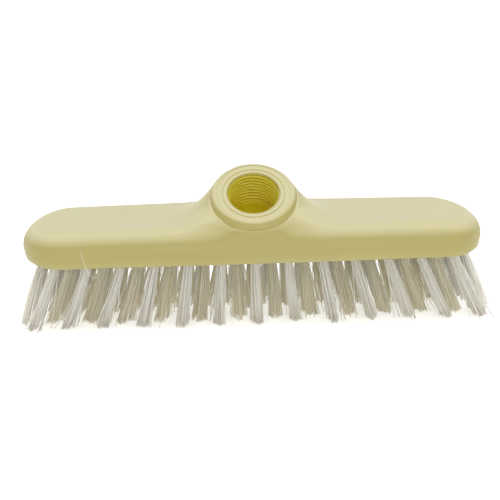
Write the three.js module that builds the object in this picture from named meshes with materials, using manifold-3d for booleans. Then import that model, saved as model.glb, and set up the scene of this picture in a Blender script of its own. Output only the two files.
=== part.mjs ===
// A deck brush head. A moulded block carries a tilted threaded socket for a handle, and its underside
// is drilled for tufts of bristle, each folded round a flat wire anchor that bites into the hole's sides.
import * as THREE from "three";
import { mergeVertices } from "three/addons/utils/BufferGeometryUtils.js";
import Module from "manifold-3d";

const wasm = await Module();
wasm.setup();

// Sizes are millimetres and degrees. X runs along the brush, -Y is its front, and it stands on Z = 0.

// Block
const BLOCK_LENGTH = 210;
const BLOCK_WIDTH = 64; // at its widest, half way along
const SIDE_BOW = 1.4; // how far each long side bows out
const END_LENGTH = 19.2; // of each rounded end
const END_THICKNESS = 14.6;
const TOP_CROWN = 1.4; // how far the top rises from the ends to the middle
const TOP_EDGE_RADIUS = 7.5;
const BOTTOM_EDGE_RADIUS = 3.7;

// Socket
const SOCKET_TILT = 36.7; // from upright, towards the front
const SOCKET_AXIS_DEPTH = 11; // below the block's top, where the axis crosses the block's middle
const SOCKET_REACH = 29.6; // from that crossing to the rim, along the axis
const THREAD_RADIUS = 11.5; // to the root of the thread
const THREAD_DEPTH = 0.7;
const THREAD_PITCH = 2;
const BORE_FLOOR_RADIUS = 3;
const BORE_WALL = 1.7; // left between the bore's lowest point and the tops of the tuft holes
const MOUTH_DEPTH = 1; // plain lead-in above the thread
const MOUTH_RELIEF = 0.1;
const COLLAR_WALL = 8; // from the thread's root to the collar's outside
const COLLAR_HEIGHT = 3.2;
const COLLAR_EDGE_RADIUS = 2.5;
const COLLAR_LIP = 0.8; // how far the collar stands out over the neck
const RIM_GROOVE_INSET = 2.4; // from the thread's root to the groove round the mouth
const RIM_GROOVE_WIDTH = 0.6;
const RIM_GROOVE_DEPTH = 0.3;
const NECK_FILLET = 7;
const NECK_SINK = 0.7; // of the fillet's foot into the block's top
const NECK_FRONT_DROP = 6; // how far the neck's front runs on down into the block
const NECK_INSET = 0.3; // of the neck's front behind the block's front face

// Tufts
const BRISTLE_LENGTH = 33;
const FLAT_CUT = 0.5; // taken off the lowest tips, so that they stand flat
const TUFT_COLUMNS = 13;
const COLUMN_INSET = 16.4; // from the block's end to its last column of tufts
const END_TUFT_INSET = 10; // from the block's end to the lone tuft there
const ROW_PITCH = 10.7;
const FAN_ANGLE = 18; // how far a tuft at the block's end would lean outwards
const ROWS = [
  { name: "front", lean: 3, staggered: false, endTufts: false },
  { name: "second", lean: 5, staggered: true, endTufts: true },
  { name: "third", lean: -2.5, staggered: false, endTufts: false },
  { name: "rear", lean: -3, staggered: true, endTufts: false },
];
const STRANDS_ROUND_TUFT = 6; // round the one in the middle
const STRAND_SIDES = 3;
const STRAND_RADIUS = 0.55;
const STRAND_ROOT_RING = 1.4; // radius of the ring of strands at the block
const STRAND_TIP_RING = 2.4;
const BACKING_THICKNESS = 1.6; // of the slice of the underside that holds a row
const BACKING_MARGIN = 1; // beyond the tuft holes

// Tuft holes and anchors
const HOLE_RADIUS = 2.3;
const HOLE_DEPTH = 6.3;
const FOLD_THICKNESS = 0.9; // bristle lying over the anchor
const ANCHOR_THICKNESS = 0.4;
const ANCHOR_HEIGHT = 1.6;
const ANCHOR_BITE = 0.5; // into the block, past each side of the hole
const FIT_GAP = 0.3; // between pieces that seat in each other

// Facets
const END_SEGMENTS = 8; // in a quarter of the outline
const SIDE_SEGMENTS = 6;
const EDGE_SEGMENTS = 4;
const SOCKET_SEGMENTS = 28;
const NECK_STEPS = 6;
const THREAD_SEGMENTS = 20;
const HOLE_SEGMENTS = 6;
const PAST = 2; // how far a cutter runs past the face that it opens

// Places that follow from the sizes
const HALF_LENGTH = BLOCK_LENGTH / 2;
const UNDERSIDE = BRISTLE_LENGTH - FLAT_CUT;
const BLOCK_TOP = UNDERSIDE + END_THICKNESS + TOP_CROWN;
const TILT = THREE.MathUtils.degToRad(SOCKET_TILT);
const AXIS = new THREE.Vector3(0, -Math.sin(TILT), Math.cos(TILT));
const AXIS_CROSSING = new THREE.Vector3(0, 0, BLOCK_TOP - SOCKET_AXIS_DEPTH);
const RIM_CENTRE = AXIS_CROSSING.clone().addScaledVector(AXIS, SOCKET_REACH);
const SOCKET_FRAME = new THREE.Matrix4().makeRotationX(TILT).setPosition(RIM_CENTRE);
const BORE_RADIUS = THREAD_RADIUS + MOUTH_RELIEF;
const BORE_FLOOR_FLAT = BORE_RADIUS - BORE_FLOOR_RADIUS;
const BORE_LOWEST = UNDERSIDE + HOLE_DEPTH + BORE_WALL;
const BORE_DROP = RIM_CENTRE.z - BORE_LOWEST - BORE_FLOOR_RADIUS - BORE_FLOOR_FLAT * Math.sin(TILT);
const BORE_DEPTH = BORE_DROP / Math.cos(TILT) + BORE_FLOOR_RADIUS;
const COLLAR_RADIUS = THREAD_RADIUS + COLLAR_WALL;
const NECK_RADIUS = COLLAR_RADIUS - COLLAR_LIP;
const COLUMN_PITCH = (BLOCK_LENGTH - 2 * COLUMN_INSET) / (TUFT_COLUMNS - 1);
const BACKING_HALF_WIDTH = HOLE_RADIUS + BACKING_MARGIN;
const PLUG_TOP = HOLE_DEPTH - FIT_GAP;
const ANCHOR_LENGTH = 2 * (HOLE_RADIUS + ANCHOR_BITE);
const ANCHOR_MIDDLE = PLUG_TOP - FOLD_THICKNESS - FIT_GAP - ANCHOR_HEIGHT / 2;

// Solids

function solidOf(geometry, matrix) {
  const bare = geometry.clone();
  bare.deleteAttribute("normal");
  bare.deleteAttribute("uv");
  if (matrix) bare.applyMatrix4(matrix);
  const merged = mergeVertices(bare);
  const vertProperties = new Float32Array(merged.getAttribute("position").array);
  const triVerts = new Uint32Array(merged.index.array);
  return new wasm.Manifold(new wasm.Mesh({ numProp: 3, vertProperties, triVerts }));
}

function geometryOf(solid) {
  const { vertProperties, triVerts } = solid.getMesh();
  const geometry = new THREE.BufferGeometry();
  geometry.setAttribute("position", new THREE.BufferAttribute(vertProperties, 3));
  geometry.setIndex(new THREE.BufferAttribute(triVerts, 1));
  geometry.computeVertexNormals();
  return geometry;
}

function joined(solids) {
  return solids.reduce((whole, piece) => whole.add(piece));
}

function geometryFrom(points, triangles) {
  const geometry = new THREE.BufferGeometry().setFromPoints(points);
  geometry.setIndex(triangles.flat());
  return geometry;
}

// The two triangles of each quad between two rings, wound to face outwards where the second lies above.
function band(lower, upper) {
  return lower.flatMap((a, i) => {
    const next = (i + 1) % lower.length;
    return [
      [a, lower[next], upper[next]],
      [a, upper[next], upper[i]],
    ];
  });
}

// The indices of a stack of rings with equal counts, stored one after another.
function ringIndices(rings) {
  const count = rings[0].length;
  return rings.map((ring, level) => ring.map((_, i) => level * count + i));
}

// A point at an angle on a circle about Z.
function onCircle(radius, angle, z) {
  return new THREE.Vector3(radius * Math.cos(angle), radius * Math.sin(angle), z);
}

// A quarter round in a profile, from one angle to another about a centre.
function quarterRound(x, y, radius, from, to) {
  return Array.from({ length: EDGE_SEGMENTS + 1 }, (_, i) => {
    const angle = THREE.MathUtils.degToRad(from + ((to - from) * i) / EDGE_SEGMENTS);
    return new THREE.Vector2(x + radius * Math.cos(angle), y + radius * Math.sin(angle));
  });
}

// A solid turned about the socket's axis, from a profile of radius and height above the rim.
function turnedOnSocket(profile) {
  const upright = new THREE.Matrix4().makeRotationX(Math.PI / 2);
  const placed = SOCKET_FRAME.clone().multiply(upright);
  return solidOf(new THREE.LatheGeometry(profile, SOCKET_SEGMENTS), placed);
}

// Block outline

function halfWidthAt(x) {
  return BLOCK_WIDTH / 2 - SIDE_BOW * (x / HALF_LENGTH) ** 2;
}

function topAt(x) {
  return BLOCK_TOP - TOP_CROWN * (x / HALF_LENGTH) ** 2;
}

// One quarter of the outline, from the tip of the right end to the middle of the back.
function quarterOutline() {
  const straight = HALF_LENGTH - END_LENGTH;
  const points = [];
  for (let i = 0; i < END_SEGMENTS; i++) {
    const angle = ((1 - i / END_SEGMENTS) * Math.PI) / 2;
    const x = straight + END_LENGTH * Math.sin(angle);
    points.push(new THREE.Vector2(x, halfWidthAt(x) * Math.cos(angle)));
  }
  for (let i = 0; i < SIDE_SEGMENTS; i++) {
    const x = straight * (1 - i / SIDE_SEGMENTS);
    points.push(new THREE.Vector2(x, halfWidthAt(x)));
  }
  return points;
}

// The whole outline, anticlockwise from above, so that points i and count - i mirror each other across X.
function outline(inset) {
  const quarter = quarterOutline();
  const mirrored = (flipX, flipY) => quarter.map((p) => new THREE.Vector2(p.x * flipX, p.y * flipY));
  const middleBack = new THREE.Vector2(0, halfWidthAt(0));
  const middleFront = new THREE.Vector2(0, -halfWidthAt(0));
  const loop = [
    ...quarter,
    middleBack,
    ...mirrored(-1, 1).reverse(),
    ...mirrored(-1, -1).slice(1),
    middleFront,
    ...mirrored(1, -1).slice(1).reverse(),
  ];
  return loop.map((point, i) => {
    const before = loop[(i + loop.length - 1) % loop.length];
    const after = loop[(i + 1) % loop.length];
    const along = after.clone().sub(before).normalize();
    return new THREE.Vector2(point.x - along.y * inset, point.y + along.x * inset);
  });
}

// A flat or crowned cap across a ring, laid in strips from each point to its mirror across X.
function cap(ring, facesUp) {
  const triangles = [];
  const count = ring.length;
  for (let i = 0; i < count / 2; i++) {
    const mirror = (count - i) % count;
    const quad = [ring[i], ring[i + 1], ring[count - i - 1], ring[mirror]];
    triangles.push([quad[0], quad[1], quad[2]], [quad[0], quad[2], quad[3]]);
  }
  const real = triangles.filter(([a, b, c]) => a !== b && b !== c && a !== c);
  return facesUp ? real : real.map(([a, b, c]) => [a, c, b]);
}

function blockBody() {
  const rings = [];
  for (const { x, y } of quarterRound(BOTTOM_EDGE_RADIUS, 0, BOTTOM_EDGE_RADIUS, 270, 180)) {
    const height = UNDERSIDE + BOTTOM_EDGE_RADIUS + y;
    rings.push(outline(x).map((p) => new THREE.Vector3(p.x, p.y, height)));
  }
  for (const { x, y } of quarterRound(TOP_EDGE_RADIUS, 0, TOP_EDGE_RADIUS, 180, 90)) {
    const below = TOP_EDGE_RADIUS - y;
    rings.push(outline(x).map((p) => new THREE.Vector3(p.x, p.y, topAt(p.x) - below)));
  }
  const indices = ringIndices(rings);
  const triangles = [...cap(indices[0], false), ...cap(indices.at(-1), true)];
  for (let level = 1; level < indices.length; level++) {
    triangles.push(...band(indices[level - 1], indices[level]));
  }
  return solidOf(geometryFrom(rings.flat(), triangles));
}

// Socket

function collar() {
  const flat = COLLAR_RADIUS - COLLAR_EDGE_RADIUS;
  const groove = THREAD_RADIUS + RIM_GROOVE_INSET;
  return turnedOnSocket([
    new THREE.Vector2(0, -COLLAR_HEIGHT),
    new THREE.Vector2(COLLAR_RADIUS, -COLLAR_HEIGHT),
    ...quarterRound(flat, -COLLAR_EDGE_RADIUS, COLLAR_EDGE_RADIUS, 0, 90),
    new THREE.Vector2(groove + RIM_GROOVE_WIDTH / 2, 0),
    new THREE.Vector2(groove, -RIM_GROOVE_DEPTH),
    new THREE.Vector2(groove - RIM_GROOVE_WIDTH / 2, 0),
    new THREE.Vector2(0, 0),
  ]);
}

// A line of the neck, from inside the collar down along the axis and out over the top in a fillet.
function neckLine(angle) {
  const start = onCircle(NECK_RADIUS, angle, -COLLAR_HEIGHT / 2).applyMatrix4(SOCKET_FRAME);
  const footHeight = BLOCK_TOP - NECK_SINK - NECK_FRONT_DROP * Math.max(0, -Math.sin(angle));
  const corner = start.clone().addScaledVector(AXIS, (footHeight - start.z) / AXIS.z);
  const foot = corner.clone().add(onCircle(NECK_FILLET, angle, 0));
  return new THREE.QuadraticBezierCurve3(start, corner, foot);
}

function neck() {
  const angles = Array.from({ length: SOCKET_SEGMENTS }, (_, i) => (2 * Math.PI * i) / SOCKET_SEGMENTS);
  const lines = angles.map(neckLine);
  const rings = [];
  for (let step = 0; step <= NECK_STEPS; step++) {
    rings.unshift(lines.map((line) => line.getPoint(step / NECK_STEPS)));
  }
  rings.unshift(rings[0].map((p) => p.clone().setZ(UNDERSIDE + BOTTOM_EDGE_RADIUS)));
  const points = rings.flat();
  const floorCentre = points.push(new THREE.Vector3(0, RIM_CENTRE.y, points[0].z)) - 1;
  const topCentre = points.push(new THREE.Vector3(0, 0, -COLLAR_HEIGHT / 2).applyMatrix4(SOCKET_FRAME)) - 1;
  const indices = ringIndices(rings);
  const triangles = [];
  for (let level = 1; level < indices.length; level++) {
    triangles.push(...band(indices[level - 1], indices[level]));
  }
  angles.forEach((_, i) => {
    const next = (i + 1) % angles.length;
    triangles.push([floorCentre, indices[0][next], indices[0][i]]);
    triangles.push([topCentre, indices.at(-1)[i], indices.at(-1)[next]]);
  });
  const plan = new THREE.ExtrudeGeometry(new THREE.Shape(outline(NECK_INSET)), {
    depth: RIM_CENTRE.z + COLLAR_RADIUS,
    bevelEnabled: false,
  });
  return solidOf(geometryFrom(points, triangles)).intersect(solidOf(plan));
}

// The space inside a screw thread: a ridge and a groove that wind up together, closed at both ends.
function threadedColumn(low, high) {
  const turns = Math.ceil((high - low) / THREAD_PITCH) + 1;
  const last = turns * THREAD_SEGMENTS;
  const points = [];
  for (let k = 0; k <= last; k++) {
    const angle = (2 * Math.PI * k) / THREAD_SEGMENTS;
    const height = low - THREAD_PITCH + (THREAD_PITCH * k) / THREAD_SEGMENTS;
    points.push(onCircle(THREAD_RADIUS, angle, height));
    points.push(onCircle(THREAD_RADIUS - THREAD_DEPTH, angle, height + THREAD_PITCH / 2));
  }
  const root = (k) => 2 * k;
  const crest = (k) => 2 * k + 1;
  const bottom = points.push(new THREE.Vector3(0, 0, low - THREAD_PITCH)) - 1;
  const top = points.push(new THREE.Vector3(0, 0, low + turns * THREAD_PITCH)) - 1;
  const triangles = [];
  for (let k = 0; k < last; k++) {
    triangles.push([root(k), root(k + 1), crest(k + 1)], [root(k), crest(k + 1), crest(k)]);
  }
  const seam = last - THREAD_SEGMENTS;
  for (let k = 0; k < seam; k++) {
    const above = k + THREAD_SEGMENTS;
    triangles.push([crest(k), crest(k + 1), root(above + 1)], [crest(k), root(above + 1), root(above)]);
  }
  for (let k = 0; k < THREAD_SEGMENTS; k++) {
    triangles.push([bottom, root(k + 1), root(k)]);
    triangles.push([top, crest(seam + k), crest(seam + k + 1)]);
  }
  triangles.push([bottom, crest(0), root(THREAD_SEGMENTS)], [bottom, root(0), crest(0)]);
  triangles.push([top, crest(last), root(last)], [top, root(last), crest(seam)]);
  return solidOf(geometryFrom(points, triangles), SOCKET_FRAME);
}

function bore() {
  const floor = -BORE_DEPTH;
  const envelope = turnedOnSocket([
    new THREE.Vector2(0, floor),
    ...quarterRound(BORE_FLOOR_FLAT, floor + BORE_FLOOR_RADIUS, BORE_FLOOR_RADIUS, 270, 360),
    new THREE.Vector2(BORE_RADIUS, PAST),
    new THREE.Vector2(0, PAST),
  ]);
  const mouth = turnedOnSocket([
    new THREE.Vector2(0, -MOUTH_DEPTH),
    new THREE.Vector2(BORE_RADIUS, -MOUTH_DEPTH),
    new THREE.Vector2(BORE_RADIUS, PAST),
    new THREE.Vector2(0, PAST),
  ]);
  return threadedColumn(floor, PAST).intersect(envelope).add(mouth);
}

// Tufts

// Where a tuft's hole meets the underside, with its axis leaning out along X and across the rows.
function tuftFrame(x, row) {
  const fan = THREE.MathUtils.degToRad(FAN_ANGLE) * Math.sin(((x / HALF_LENGTH) * Math.PI) / 2);
  const lean = THREE.MathUtils.degToRad(row.lean);
  const frame = new THREE.Object3D();
  frame.position.set(x, row.y, UNDERSIDE);
  frame.rotation.set(-lean, -fan, 0);
  frame.updateMatrix();
  return frame;
}

function columnPlaces(row) {
  const places = [];
  const count = row.staggered ? TUFT_COLUMNS - 1 : TUFT_COLUMNS;
  for (let i = 0; i < count; i++) places.push((i - (count - 1) / 2) * COLUMN_PITCH);
  if (row.endTufts) {
    const end = HALF_LENGTH - END_TUFT_INSET;
    return [-end, ...places, end];
  }
  return places;
}

function laidOutRows() {
  return ROWS.map((row, i) => {
    const placed = { ...row, y: (i - (ROWS.length - 1) / 2) * ROW_PITCH };
    return { ...placed, frames: columnPlaces(row).map((x) => tuftFrame(x, placed)) };
  });
}

// An upright post in a tuft's own frame, between two heights along the tuft.
function tuftPost(frame, radius, low, high) {
  const geometry = new THREE.CylinderGeometry(radius, radius, high - low, HOLE_SEGMENTS);
  geometry.rotateY(Math.PI / HOLE_SEGMENTS);
  geometry.rotateX(Math.PI / 2);
  geometry.translate(0, 0, (low + high) / 2);
  return solidOf(geometry, frame.matrix);
}

// The room for an anchor across a tuft.
function anchorRoom(frame) {
  const size = [ANCHOR_THICKNESS, ANCHOR_LENGTH, ANCHOR_HEIGHT].map((s) => s + 2 * FIT_GAP);
  const geometry = new THREE.BoxGeometry(...size).translate(0, 0, ANCHOR_MIDDLE);
  return solidOf(geometry, frame.matrix);
}

// The slice of the underside along a row, with round ends, grown by a gap and started below the underside.
function backing(row, gap, below) {
  const radius = BACKING_HALF_WIDTH + gap;
  const depth = below + BACKING_THICKNESS + gap;
  const reach = row.frames.at(-1).position.x;
  const shape = new THREE.Shape();
  shape.absarc(reach, row.y, radius, -Math.PI / 2, Math.PI / 2);
  shape.absarc(-reach, row.y, radius, Math.PI / 2, (3 * Math.PI) / 2);
  const settings = { depth, bevelEnabled: false, curveSegments: HOLE_SEGMENTS };
  return solidOf(new THREE.ExtrudeGeometry(shape, settings).translate(0, 0, UNDERSIDE - below));
}

// A straight strand from inside the backing to its tip, which is cut level and never below Z = 0.
function strand(frame, ringAngle, rootRing, tipRing) {
  const root = onCircle(rootRing, ringAngle, 0).applyMatrix4(frame.matrix);
  const tip = onCircle(tipRing, ringAngle, -BRISTLE_LENGTH).applyMatrix4(frame.matrix);
  const along = tip.clone().sub(root);
  const atHeight = (z) => root.clone().addScaledVector(along, (z - root.z) / along.z);
  const ends = [atHeight(Math.max(0, tip.z)), atHeight(UNDERSIDE + BACKING_THICKNESS / 2)];
  const rings = ends.map((centre) =>
    Array.from({ length: STRAND_SIDES }, (_, i) =>
      onCircle(STRAND_RADIUS, ringAngle + (2 * Math.PI * i) / STRAND_SIDES, 0).add(centre),
    ),
  );
  const [lower, upper] = ringIndices(rings);
  const triangles = band(lower, upper);
  for (let i = 1; i < STRAND_SIDES - 1; i++) {
    triangles.push([lower[0], lower[i + 1], lower[i]], [upper[0], upper[i], upper[i + 1]]);
  }
  return solidOf(geometryFrom(rings.flat(), triangles));
}

function tuft(frame) {
  const plug = tuftPost(frame, HOLE_RADIUS - FIT_GAP, BACKING_THICKNESS / 2, PLUG_TOP);
  const strands = [strand(frame, 0, 0, 0)];
  for (let i = 0; i < STRANDS_ROUND_TUFT; i++) {
    const angle = (2 * Math.PI * i) / STRANDS_ROUND_TUFT;
    strands.push(strand(frame, angle, STRAND_ROOT_RING, STRAND_TIP_RING));
  }
  return { plug: plug.subtract(anchorRoom(frame)), strands };
}

function bristleRow(row) {
  const tufts = row.frames.map(tuft);
  const pieces = tufts.flatMap(({ plug, strands }) => [plug, ...strands]);
  return joined([backing(row, 0, 0), ...pieces]);
}

// Block with its socket, the channels for the backing slices, and the tuft holes

function block(rows) {
  let solid = joined([blockBody(), neck(), collar()]).subtract(bore());
  for (const row of rows) {
    solid = solid.subtract(backing(row, FIT_GAP, PAST));
    for (const frame of row.frames) {
      const hole = tuftPost(frame, HOLE_RADIUS, -PAST, HOLE_DEPTH);
      solid = solid.subtract(hole.add(anchorRoom(frame)));
    }
  }
  return solid;
}

// Materials

function paleYellowPlastic() {
  return new THREE.MeshStandardMaterial({ color: 0xd9d3ae, roughness: 0.55, metalness: 0 });
}

function whiteBristle() {
  return new THREE.MeshStandardMaterial({ color: 0xd8d4cb, roughness: 0.45, metalness: 0 });
}

function steelWire() {
  return new THREE.MeshStandardMaterial({ color: 0xb8babd, roughness: 0.35, metalness: 1 });
}

// Assembly

function named(name, geometry, material) {
  const mesh = new THREE.Mesh(geometry, material);
  mesh.name = name;
  return mesh;
}

// An anchor lies across its tuft, so it takes the tuft's place and angles.
function anchorAt(frame, name) {
  const geometry = new THREE.BoxGeometry(ANCHOR_THICKNESS, ANCHOR_LENGTH, ANCHOR_HEIGHT);
  const blade = named(name, geometry, steelWire());
  blade.position.z = ANCHOR_MIDDLE;
  frame.add(blade);
  return frame;
}

const rows = laidOutRows();
const brush = new THREE.Group();
brush.add(named("block", geometryOf(block(rows)), paleYellowPlastic()));
for (const row of rows) {
  brush.add(named(`bristle_row_${row.name}`, geometryOf(bristleRow(row)), whiteBristle()));
  row.frames.forEach((frame, i) => {
    const place = String(i + 1).padStart(2, "0");
    brush.add(anchorAt(frame, `tuft_anchor_${row.name}_${place}`));
  });
}

export default brush;
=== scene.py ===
"""The looks of a deck brush head: a moulded block with a threaded socket, and fanned tufts of filament."""

import math

import bmesh
import bpy
import numpy as np
from mathutils import Euler, Matrix, Vector


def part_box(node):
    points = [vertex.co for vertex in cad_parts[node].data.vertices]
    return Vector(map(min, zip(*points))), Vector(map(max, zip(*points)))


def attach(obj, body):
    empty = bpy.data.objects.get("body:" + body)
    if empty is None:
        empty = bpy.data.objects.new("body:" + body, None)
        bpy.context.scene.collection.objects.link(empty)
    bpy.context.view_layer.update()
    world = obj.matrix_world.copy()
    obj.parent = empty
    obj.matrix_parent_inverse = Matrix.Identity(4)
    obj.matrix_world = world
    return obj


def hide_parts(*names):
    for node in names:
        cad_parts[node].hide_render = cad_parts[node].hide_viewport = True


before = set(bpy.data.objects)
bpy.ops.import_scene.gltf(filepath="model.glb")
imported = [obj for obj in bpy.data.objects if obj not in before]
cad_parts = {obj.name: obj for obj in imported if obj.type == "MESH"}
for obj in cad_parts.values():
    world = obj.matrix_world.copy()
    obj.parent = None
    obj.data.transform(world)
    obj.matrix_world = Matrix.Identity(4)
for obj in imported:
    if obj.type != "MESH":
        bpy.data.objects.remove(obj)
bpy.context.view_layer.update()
BLOCK_LOW, BLOCK_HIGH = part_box("block")
MM = 0.001

# Camera
IMAGE_SIDE = 500  # pixels
FOCAL_LENGTH = 991  # pixels
SENSOR_WIDTH = 36  # mm
CAMERA_AZIMUTH = -2.13  # degrees, as are the next two
CAMERA_ELEVATION = 16
CAMERA_ROLL = -1.25
CAMERA_DISTANCE = 458 * MM
CAMERA_TARGET = Vector((0, 0, 44.5 * MM))
CAMERA_SLIDE = (-1.17 * MM, -13.86 * MM)  # across and up the picture
CAMERA_CLIP_START = 10 * MM

# Light
WHITE = (1, 1, 1, 1)
AMBIENT_STRENGTH = 0.88
SUNS = {  # strength, and in degrees spread, elevation, and azimuth to the right of the front
    "key": (0.4, 55, 17, 10),
    "fill": (0.3, 14, 3, 0),
}
FLOOR_SIDE = 40  # metres
FLOOR_COLOUR = (0.96, 0.96, 0.96, 1)
FLOOR_LIFT = 0.5  # what the floor adds where it is seen directly, so that its lit part is white

# Block plastic
PLASTIC_IOR = 1.49
PLASTIC_SUBSURFACE = 0.12
PLASTIC_SUBSURFACE_SCALE = 2 * MM
PLASTIC_SUBSURFACE_RADIUS = (1, 0.75, 0.3)
DEEP_COLOUR = (0.434, 0.377, 0.122, 1)
# Painted top light: surfaces that face up take this paler colour in place of the light and sheen they would
# catch
TOP_LIGHT_COLOUR = (0.692, 0.641, 0.366, 1)
TOP_LIGHT_SLOPES = (0.42, 0.84)  # how far up a surface faces where the painted top light begins, and where it is full
MOUTH_COLOUR = (0.37, 0.305, 0.001, 1)  # of the bore, as are the next three: painted shade near the mouth, painted light towards the floor, and a painted highlight on the crests
MOUTH_CREST_COLOUR = (0.47, 0.4, 0.03, 1)
BORE_FLOOR_COLOUR = (0.735, 0.605, 0.001, 1)
BORE_FLOOR_CREST_COLOUR = (0.92, 0.78, 0.02, 1)
CLOUD_NOISE = (18, 4)  # scale and detail, as in every noise
CLOUD_LEVELS = (-0.12, 0.12)
GLOSS_NOISE = (60, 5)
PLASTIC_ROUGHNESS = (0.38, 0.52)
FLOW_NOISE = (45, 3)
FLOW_BUMP = (0.06, 1 * MM)  # strength and height, as in every bump
GRAIN_NOISE = (2600, 2)
GRAIN_BUMP = (0.12, 0.15 * MM)
CREST_HIGHLIGHT_LEVEL = 0.8  # painted highlight on the thread's crests, which makes them paler than its grooves
COLLAR_LIGHT_LEVEL = 0.6  # how much stronger the painted top light is round the collar
COLLAR_LIGHT_RADIUS = 31 * MM  # from the socket's axis
COLLAR_LIGHT_FADE = 10 * MM
LOW_LIGHT_LEVEL = 0.2  # painted light from the floor: how much paler the block is along its lower edge
LOW_LIGHT_HEIGHT = 5 * MM
UNDERSIDE_LIGHT_LEVEL = 1  # the same painted light, over the whole underside
SURFACE_ERROR = 0.1 * MM  # within which a point counts as on the underside

# Filament plastic
FILAMENT_IOR = 1.53
FILAMENT_ROUGHNESS = 0.34
FILAMENT_COLOURS = ((0.998, 0.962, 0.835, 1), (0.974, 0.971, 0.96, 1))  # at tones 0 and 1; the warmer colour at 0, given to the inner rows, is painted light
PASSED_COLOURS = ((1, 0.974, 0.862, 1), (0.992, 0.983, 0.95, 1))  # of light that goes through
PASSED_SHARES = (0.75, 0.5)  # of the light, at the same tones
# Painted shade that darkens the filaments towards their tips
TIP_SHADE_COLOUR = (0.62, 0.54, 0.36, 1)
STREAK_NOISE = (900, 2)
STREAK_LEVELS = (-0.15, 0.15)
FILAMENT_NOISE = (1400, 2)
FILAMENT_BUMP = (0.1, 0.1 * MM)

# Anchor steel
STEEL_STRETCH = (900, 60, 900)  # of the noise, along the drawn wire
STEEL_NOISE = (1, 3)
STEEL_COLOURS = ((0.36, 0.36, 0.37, 1), (0.6, 0.6, 0.61, 1))
STEEL_ROUGHNESS = (0.25, 0.5)
STEEL_BUMP = (0.15, 0.05 * MM)

# Sockets of a node that mixes colours
MIX_FACTOR = 0
MIX_FIRST = 6
MIX_SECOND = 7
MIX_RESULT = 2

# Block
HALF_LENGTH = BLOCK_HIGH.x
HALF_WIDTH = BLOCK_HIGH.y
UNDERSIDE = BLOCK_LOW.z
SIDE_BOW = 1.4 * MM
END_LENGTH = 19.2 * MM
END_THICKNESS = 14.6 * MM
TOP_CROWN = 0.8 * MM
TOP_EDGE_RADIUS = 9 * MM
BOTTOM_EDGE_RADIUS = 1.6 * MM
END_EDGE_RADIUS = 6 * MM  # of the lower edge round the ends
END_EDGE_LENGTH = 16 * MM
BLOCK_TOP = UNDERSIDE + END_THICKNESS + TOP_CROWN
NET_STEP = 1.1 * MM  # between the points of the block's surface
NET_MARGIN = 2 * NET_STEP  # of its grid, round the block
SETTLE_ROUNDS = 3  # that bring those points onto the surface
SETTLE_SHARE = 1 / 8  # of the grid's step, over which a slope is measured
LEAST_SLOPE = 0.1  # squared, so that no point moves too far
WELD_DISTANCE = 0.002 * MM
SHARP_ANGLE = 32  # degrees
TABLE_STEP = 0.5 * MM  # between the outline distances that are kept
TABLE_MARGIN = 8 * MM
TABLE_END = 1.001  # steps from the table's end, just inside its last cell
OUTLINE_SIDE_POINTS = 120
OUTLINE_END_POINTS = 90

# Socket
TILT = math.radians(36.7)
AXIS = np.array((0, -math.sin(TILT), math.cos(TILT)))
RISE = np.array((0, math.cos(TILT), math.sin(TILT)))  # across the rim, from front to back
ACROSS = np.array((1, 0, 0))
SOCKET_AXIS_DEPTH = 10.4 * MM  # below the top, where the axis meets the block's middle
SOCKET_REACH = 29.6 * MM  # from there to the rim
RIM_CENTRE = np.array((0, 0, BLOCK_TOP - SOCKET_AXIS_DEPTH)) + AXIS * SOCKET_REACH
THREAD_RADIUS = 11.5 * MM
THREAD_DEPTH = 0.65 * MM
THREAD_PITCH = 2 * MM
THREAD_START = 0.7  # turns
CREST_REACH = 0.6  # of half a pitch, from a crest's middle to its foot
CREST_FADE = 0.5  # of half a pitch, over which it rises
BORE_RADIUS = 11.6 * MM
BORE_DEPTH = 18.7 * MM
BORE_FLOOR_RADIUS = 1 * MM
BORE_FLOOR_RINGS = 8
MOUTH_DEPTH = 0.5 * MM
MOUTH_EDGE_RADIUS = 0.8 * MM
MOUTH_EDGE_SHARE = 0.97  # of a quarter circle's height, so that it meets the rim at an angle
MOUTH_RINGS = 6
BORE_LIGHT_AND_SHADE_START = 0.8 * MOUTH_EDGE_RADIUS  # below the rim, where the bore's painted shade and light begin
BORE_LIGHT_AND_SHADE_FADE = MOUTH_DEPTH / 2
THREAD_RUN_OUT = 0.3 * MM
BORE_STEP = 0.19 * MM
BORE_ERROR = 0.2 * MM  # round the bore, within which a point counts as its surface
ROLL_RADIUS = 3.9 * MM  # of the collar's round edge
ROLL_START = 15.6 * MM  # from the socket's axis, where the rim begins to round over
ROLL_END = 95  # degrees from the axis
ROLL_RINGS = 24
COLLAR_ROOT = -ROLL_RADIUS * 5 / 4  # from the rim, inside the mound
GROOVES = (  # radius, width, depth, and the share of that depth at the front
    (13.7 * MM, 0.6 * MM, 0.22 * MM, 1),
    (16.45 * MM, 0.55 * MM, 0.26 * MM, 0.1),
)
GROOVE_RINGS = 9
FOOT_RADIUS = 19.45 * MM  # where the mound meets the collar
FOOT_HEIGHT = -2.4 * MM  # from the rim
FOOT_BACK_DROP = 0.8 * MM
MOUND_SIDE_REACH = 24.5 * MM
MOUND_BACK_REACH = 52 * MM
MOUND_POWER = 3  # how fast it falls off from the collar
MOUND_SINK = 0.5 * MM  # how far the mound's outer edge lies below the block's surface
MOUND_EDGE_RADII = (0.8 * MM, 8.5 * MM)  # under the collar's front, and beside it
MOUND_EDGE_SPAN = (1 * MM, 17 * MM)  # from the middle, where the one passes into the other
MOUND_BLEND = 2 * MM
MOUND_SLOPE_SHARE = 0.8  # of a height above the mound, about how far its surface is
MOUND_LEAST_RING = 1e-6  # keeps the mound's middle from a division by zero
CREASE_RADIUS = 0.4 * MM  # the groove under the collar, widest at the front
CREASE_END_RADIUS = 0.06 * MM
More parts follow.
